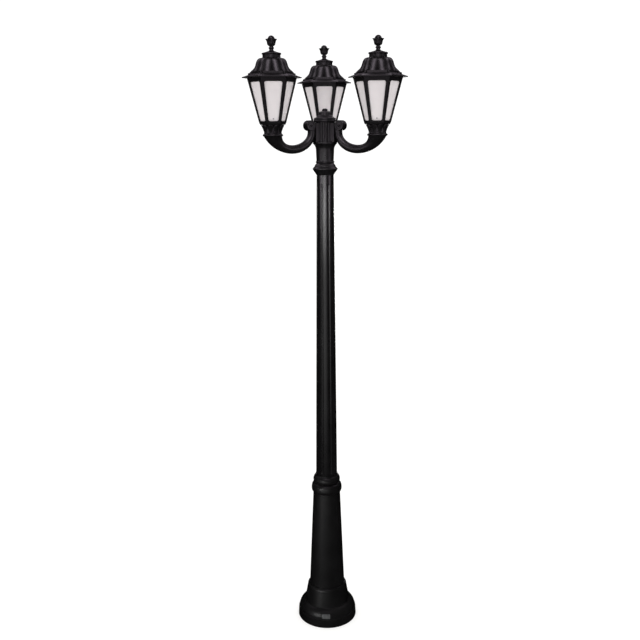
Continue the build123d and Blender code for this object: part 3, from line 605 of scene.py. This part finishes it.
@dataclass
class Lantern:
    """One lantern on its arm: horn, neck, cage, panes, roof and lamp.

    Sizes are in millimetres and turns in degrees. The probes are how far from the lantern's axis the lines
    start that find a surface. Tips, foot_width, widening, edge_in, hollow, foot_swell, rise, crown and the
    vein are shares of the piece that they shape. The curl and the powers bend a curve.
    """

    side: Side
    front: float = 270.0
    leaf_count: int = 9
    leaf_low: float = 2211.5
    leaf_high: float = 2242.0
    leaf_half_turn: float = 19.0
    leaf_foot: float = 34.6
    leaf_spread: float = 47.5
    leaf_relief: float = 1.8
    leaf_bed: float = 0.8
    leaf_foot_width: float = 0.62
    leaf_widening: float = 0.5
    leaf_tip: float = 0.75
    leaf_curl: float = 1.8
    leaf_edge_in: float = 0.12
    leaf_foot_swell: float = 0.35
    vein_depth: float = 0.45
    vein_width: float = 0.16
    leaf_rows: int = 18
    leaf_cols: int = 10
    petal_count: int = 6
    petal_curve: tuple[Point, ...] = ((9.6, 2541.6), (20.5, 2543.2), (12.8, 2556.5), (24.0, 2566.4))
    petal_half_turn: float = 29.0
    petal_tip: float = 0.96
    petal_hollow: float = 0.09
    petal_least: float = 0.3
    petal_bed: float = 0.8
    petal_rows: int = 16
    petal_cols: int = 10
    stud_radius: float = 2.8
    stud_proud: float = 1.2
    stud_bed: float = 0.6
    stud_rise: float = 0.8
    stud_crown: float = 0.6
    stud_top_radius: float = 0.2
    stud_height: float = 2265.5
    stud_steps: int = 8
    stud_around: int = 24
    tip_power: int = 6
    rim_power: int = 4
    neck_probe: float = 80.0
    pane_probe: float = 200.0
    mouldings: tuple[str, ...] = ("arm", "seat_ring", "cup", "cage", "roof", "roof_cap", "finial")

    def build(self) -> None:
        """Dress the CAD nodes and add the neck's leaves, the pane's stud and the finial's petals."""
        for piece in self.mouldings:
            dress(self.side.node(piece), SATIN_RESIN)
        dress(self.side.node("diffuser"), OPAL_ACRYLIC)
        dress(self.side.node("gasket"), SEAL_RUBBER)
        dress(self.side.node("lampholder"), PORCELAIN)
        dress(self.side.node("lamp_cap"), ROLLED_ALUMINIUM)
        dress(self.side.node("lamp_globe"), OPAL_GLASS)
        place_piece(self.leaves(), SATIN_RESIN, POST)
        place_piece(self.stud(), ZINC_STEEL, POST)
        place_piece(self.petals(), SATIN_RESIN, self.side.node("roof"))

    def axis(self) -> Vector:
        """Find the point on the ground under the lantern's middle."""
        low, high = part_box(self.side.node("seat_ring"))
        return Vector(((low.x + high.x) / 2, (low.y + high.y) / 2, 0))

    def outward(self, turn: float) -> Vector:
        """Give the level direction at an angle round the lantern, with its turn on the spigot."""
        angle = math.radians(turn + self.side.value)
        return Vector((math.cos(angle), math.sin(angle), 0))

    def stud(self) -> bpy.types.Mesh:
        """Set a low round stud near the foot of the front pane.

        Returns:
            Mesh of the stud.
        """
        out = self.outward(self.front)
        start = self.axis() + out * self.pane_probe * MM + Vector((0, 0, self.stud_height * MM))
        place, normal = meet(self.side.node("diffuser"), start, -out)
        rim, top = self.stud_radius, self.stud_proud
        cap = ((rim, 0.0), (rim, top * self.stud_rise), (rim * self.stud_crown, top),
               (self.stud_top_radius, top))
        outline = [(rim, -self.stud_bed)] + bend(cap, self.stud_steps)
        mesh = turned_mesh(outline, self.side.node("pane_stud"), self.stud_around)
        mesh.transform(Matrix.Translation(place) @ normal.to_track_quat("Z", "Y").to_matrix().to_4x4())
        return mesh

    def petals(self) -> bpy.types.Mesh:
        """Ring the finial's tulip with petals that curl out at their tips.

        Returns:
            Mesh of all the petals.
        """
        turns = [360.0 * i / self.petal_count for i in range(self.petal_count)]
        return sheet_mesh([self.petal(turn) for turn in turns], self.side.node("finial_petals"))

    def petal(self, turn: float) -> tuple[Grid, Grid]:
        """Lay out one petal: broad at its foot, with a pointed tip.

        Args:
            turn: Where it stands round the tulip, in degrees.

        Returns:
            Front and back grids of points.
        """
        tulip, axis = self.side.node("finial"), self.axis()
        front: Grid = []
        back: Grid = []
        for i, (reach, z) in enumerate(bend(self.petal_curve, self.petal_rows)):
            v = i / (self.petal_rows - 1)
            height = Vector((0, 0, z * MM))
            width = self.petal_half_turn * math.sqrt(1 - self.petal_tip * v**self.tip_power)
            faces, beds = [], []
            for j in range(self.petal_cols + 1):
                u = 2 * j / self.petal_cols - 1
                out = self.outward(turn + width * u)
                place, _ = meet(tulip, axis + out * self.neck_probe * MM + height, -out)
                skin = (place - axis - height).length
                curl = reach * (1 - self.petal_hollow * u * u) * MM
                faces.append(axis + height + out * max(curl, skin + self.petal_least * MM))
                beds.append(place - out * self.petal_bed * MM)
            front.append(faces)
            back.append(beds)
        return front, back

    def leaves(self) -> bpy.types.Mesh:
        """Ring the neck with leaves that spread out under the cage.

        Returns:
            Mesh of all the leaves.
        """
        first = self.front + 180.0 / self.leaf_count
        turns = [first + 360.0 * i / self.leaf_count for i in range(self.leaf_count)]
        return sheet_mesh([self.leaf(turn) for turn in turns], self.side.node("neck_leaves"))

    def leaf(self, turn: float) -> tuple[Grid, Grid]:
        """Lay out one leaf: narrow at its foot, broad above, with a round tip and a vein down the middle.

        Args:
            turn: Where it stands round the neck, in degrees.

        Returns:
            Front and back grids of points.
        """
        cup, axis = self.side.node("cup"), self.axis()
        front: Grid = []
        back: Grid = []
        for i in range(self.leaf_rows + 1):
            v = i / self.leaf_rows
            height = Vector((0, 0, (self.leaf_low + (self.leaf_high - self.leaf_low) * v) * MM))
            broad = min(self.leaf_foot_width + self.leaf_widening * v, 1.0)
            width = self.leaf_half_turn * broad * math.sqrt(1 - self.leaf_tip * v**self.tip_power)
            flare = (self.leaf_foot + (self.leaf_spread - self.leaf_foot) * v**self.leaf_curl) * MM
            full = self.leaf_foot_swell + (1 - self.leaf_foot_swell) * math.sin(math.pi * v)
            faces, beds = [], []
            for j in range(self.leaf_cols + 1):
                u = 2 * j / self.leaf_cols - 1
                out = self.outward(turn + width * u)
                place, _ = meet(cup, axis + out * self.neck_probe * MM + height, -out)
                skin = (place - axis - height).length
                vein = self.vein_depth * math.exp(-((u / self.vein_width) ** 2))
                swell = (1 - u**self.rim_power) * full - vein
                edge = max(flare * (1 - self.leaf_edge_in * v * u * u), skin)
                reach = edge + max(0.0, swell) * self.leaf_relief * MM
                faces.append(axis + height + out * reach)
                beds.append(place - out * self.leaf_bed * MM)
            front.append(faces)
            back.append(beds)
        return front, back


@dataclass(frozen=True)
class Softbox:
    """A rectangular studio light. Most give sheen alone, because the pale room lights what is dull.

    Places are in metres and the power in watts. A beam under 180 degrees stands for a grid over its front.
    """

    name: str
    place: tuple[float, float, float]
    aim: tuple[float, float, float]
    size: tuple[float, float]
    power: float
    beam: float = 180.0
    tone: str = "#ffffff"
    lights: Lights = Lights.SHEEN

    def hang(self) -> None:
        """Put the light in the scene, facing its aim."""
        data = bpy.data.lights.new(self.name, "AREA")
        data.shape = "RECTANGLE"
        data.size, data.size_y = self.size
        data.energy = self.power
        data.spread = math.radians(self.beam)
        data.color = linear(self.tone)[:3]
        light = bpy.data.objects.new(self.name, data)
        light.visible_camera = False
        light.visible_diffuse = self.lights is Lights.DULL
        light.visible_glossy = self.lights is Lights.SHEEN
        light.location = self.place
        light.rotation_euler = (Vector(self.aim) - Vector(self.place)).to_track_quat("-Z", "Y").to_euler()
        bpy.context.scene.collection.objects.link(light)
        LOG.info("%s: softbox", self.name)


@dataclass(frozen=True)
class Fan:
    """Softboxes side by side round the post, which the smooth shaft mirrors as one wide light.

    Height, aim and reach are in metres. Each pair of shares is a light's turn to the left of the camera, in
    degrees, and its part of the power.
    """

    name: str
    height: float
    aim: float
    size: tuple[float, float]
    power: float
    beam: float
    reach: float = 2.8
    shares: tuple[tuple[float, float], ...] = ((-8.0, 0.45), (4.0, 0.9), (16.0, 1.0), (28.0, 0.8),
                                               (40.0, 0.65), (52.0, 0.5))

    def hang(self) -> None:
        """Put the lights in the scene, all facing the post."""
        for number, (turn, share) in enumerate(self.shares):
            angle = math.radians(turn)
            place = (-self.reach * math.sin(angle), -self.reach * math.cos(angle), self.height)
            Softbox(f"{self.name}_{number}", place, (0.0, 0.0, self.aim), self.size, self.power * share,
                    self.beam).hang()


@dataclass
class Studio:
    """Pale lit floor in a pale room, soft lights and the camera.

    The black resin mirrors the softboxes alone: neither the room nor the floor shows in its gloss.
    """

    floor_radius: float = 400.0
    floor_segments: int = 96
    floor_tone: str = "#c4c3c1"
    floor_rough: float = 0.9
    floor_glow: float = 0.55
    room_tone: str = "#ffffff"
    room_light: float = 1.1
    softboxes: tuple[Softbox | Fan, ...] = (
        Fan("shaft_high", height=1.74, aim=1.90, size=(0.50, 0.32), power=0.068, beam=12.0),
        Fan("shaft_low", height=0.80, aim=1.05, size=(0.60, 1.50), power=0.21, beam=34.0),
        Softbox("foot_strip", place=(-1.66, -2.12, 0.66), aim=(0.0, 0.0, 0.20), size=(0.12, 1.10),
                power=1.15, beam=40.0),
        Softbox("hub_panel", place=(-0.20, -3.10, 2.50), aim=(0.0, 0.0, 2.45), size=(2.6, 1.5),
                power=2.2, beam=44.0, tone=HEAD_TONE),
        Softbox("left_panel", place=(-2.50, -1.40, 2.30), aim=(0.0, 0.0, 2.30), size=(1.6, 1.0),
                power=1.1, beam=44.0, tone=HEAD_TONE),
        Softbox("right_panel", place=(2.50, -1.40, 2.30), aim=(0.0, 0.0, 2.30), size=(1.6, 1.0),
                power=1.1, beam=44.0, tone=HEAD_TONE),
        Softbox("roof_panel", place=(-0.20, -1.70, 3.90), aim=(0.0, 0.0, 2.35), size=(3.0, 1.6),
                power=9.0, beam=44.0, tone=HEAD_TONE),
        Softbox("left_top", place=(-2.20, 1.10, 4.30), aim=(0.0, 0.0, 2.40), size=(1.4, 1.4),
                power=2.0, beam=60.0, tone=HEAD_TONE),
        Softbox("right_top", place=(2.20, 1.10, 4.30), aim=(0.0, 0.0, 2.40), size=(1.4, 1.4),
                power=2.0, beam=60.0, tone=HEAD_TONE),
        Softbox("crown_panel", place=(0.0, 1.60, 4.30), aim=(0.0, 0.0, 2.40), size=(1.8, 1.2),
                power=1.6, beam=60.0, tone=HEAD_TONE),
        Softbox("rear_fill", place=(0.0, -3.30, 2.75), aim=(0.0, 0.16, 2.33), size=(0.3, 0.3),
                power=0.056, beam=6.0, lights=Lights.DULL),
        Softbox("rear_strip", place=(0.35, 2.90, 1.10), aim=(0.0, 0.0, 1.10), size=(0.40, 1.20),
                power=2.4, beam=40.0),
        Softbox("rear_panel", place=(-0.20, 3.10, 2.30), aim=(0.0, 0.0, 2.30), size=(2.6, 1.0),
                power=1.6, beam=44.0),
    )
    sensor: float = 36.0
    lens: float = 45.0
    sight: float = 200.0
    camera_place: tuple[float, float, float] = (-0.0255, -3.390, 2.2013)
    pitch: float = 13.0
    roll: float = -0.38

    def build(self) -> None:
        """Lay the floor, hang the lights and set the camera."""
        self.floor()
        self.room()
        for box in self.softboxes:
            box.hang()
        self.camera()

    def floor(self) -> None:
        """Lay a wide pale disc under the foot, lit a little from within like a photographer's table."""
        mesh = bpy.data.meshes.new("floor")
        disc = bmesh.new()
        bmesh.ops.create_circle(disc, cap_ends=True, segments=self.floor_segments, radius=self.floor_radius)
        disc.to_mesh(mesh)
        disc.free()
        floor = bpy.data.objects.new("floor", mesh)
        bpy.context.scene.collection.objects.link(floor)
        paint = bpy.data.materials.new("lit_table_acrylic")
        paint.use_nodes = True
        shader = paint.node_tree.nodes["Principled BSDF"]
        shader.inputs["Base Color"].default_value = linear(self.floor_tone)
        shader.inputs["Roughness"].default_value = self.floor_rough
        shader.inputs["Emission Color"].default_value = linear(self.room_tone)
        shader.inputs["Emission Strength"].default_value = self.floor_glow
        mesh.materials.append(paint)
        floor.visible_glossy = False

    def room(self) -> None:
        """Fill the room with even pale light."""
        world = bpy.data.worlds.new("pale_room")
        world.use_nodes = True
        sky = world.node_tree.nodes["Background"]
        sky.inputs["Color"].default_value = linear(self.room_tone)
        sky.inputs["Strength"].default_value = self.room_light
        world.cycles_visibility.glossy = False
        bpy.context.scene.world = world

    def camera(self) -> None:
        """Set the camera where the picture was taken from."""
        data = bpy.data.cameras.new("camera")
        data.sensor_width = self.sensor
        data.lens = self.lens
        data.clip_end = self.sight
        camera = bpy.data.objects.new("camera", data)
        bpy.context.scene.collection.objects.link(camera)
        tilt = Matrix.Rotation(math.radians(90 - self.pitch), 4, "X")
        camera.matrix_world = (Matrix.Translation(self.camera_place) @ tilt
                               @ Matrix.Rotation(math.radians(self.roll), 4, "Z"))
        bpy.context.scene.camera = camera


def main() -> None:
    """Build the lamp post's looks and its studio, piece by piece."""
    logging.basicConfig(level=logging.INFO, format="%(name)s %(message)s")
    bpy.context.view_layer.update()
    Foot().build()
    Column().build()
    Hub().build()
    for side in Side:
        Lantern(side).build()
    Studio().build()
    bpy.context.scene.view_settings.view_transform = "Standard"


if __name__ == "__main__":
    main()
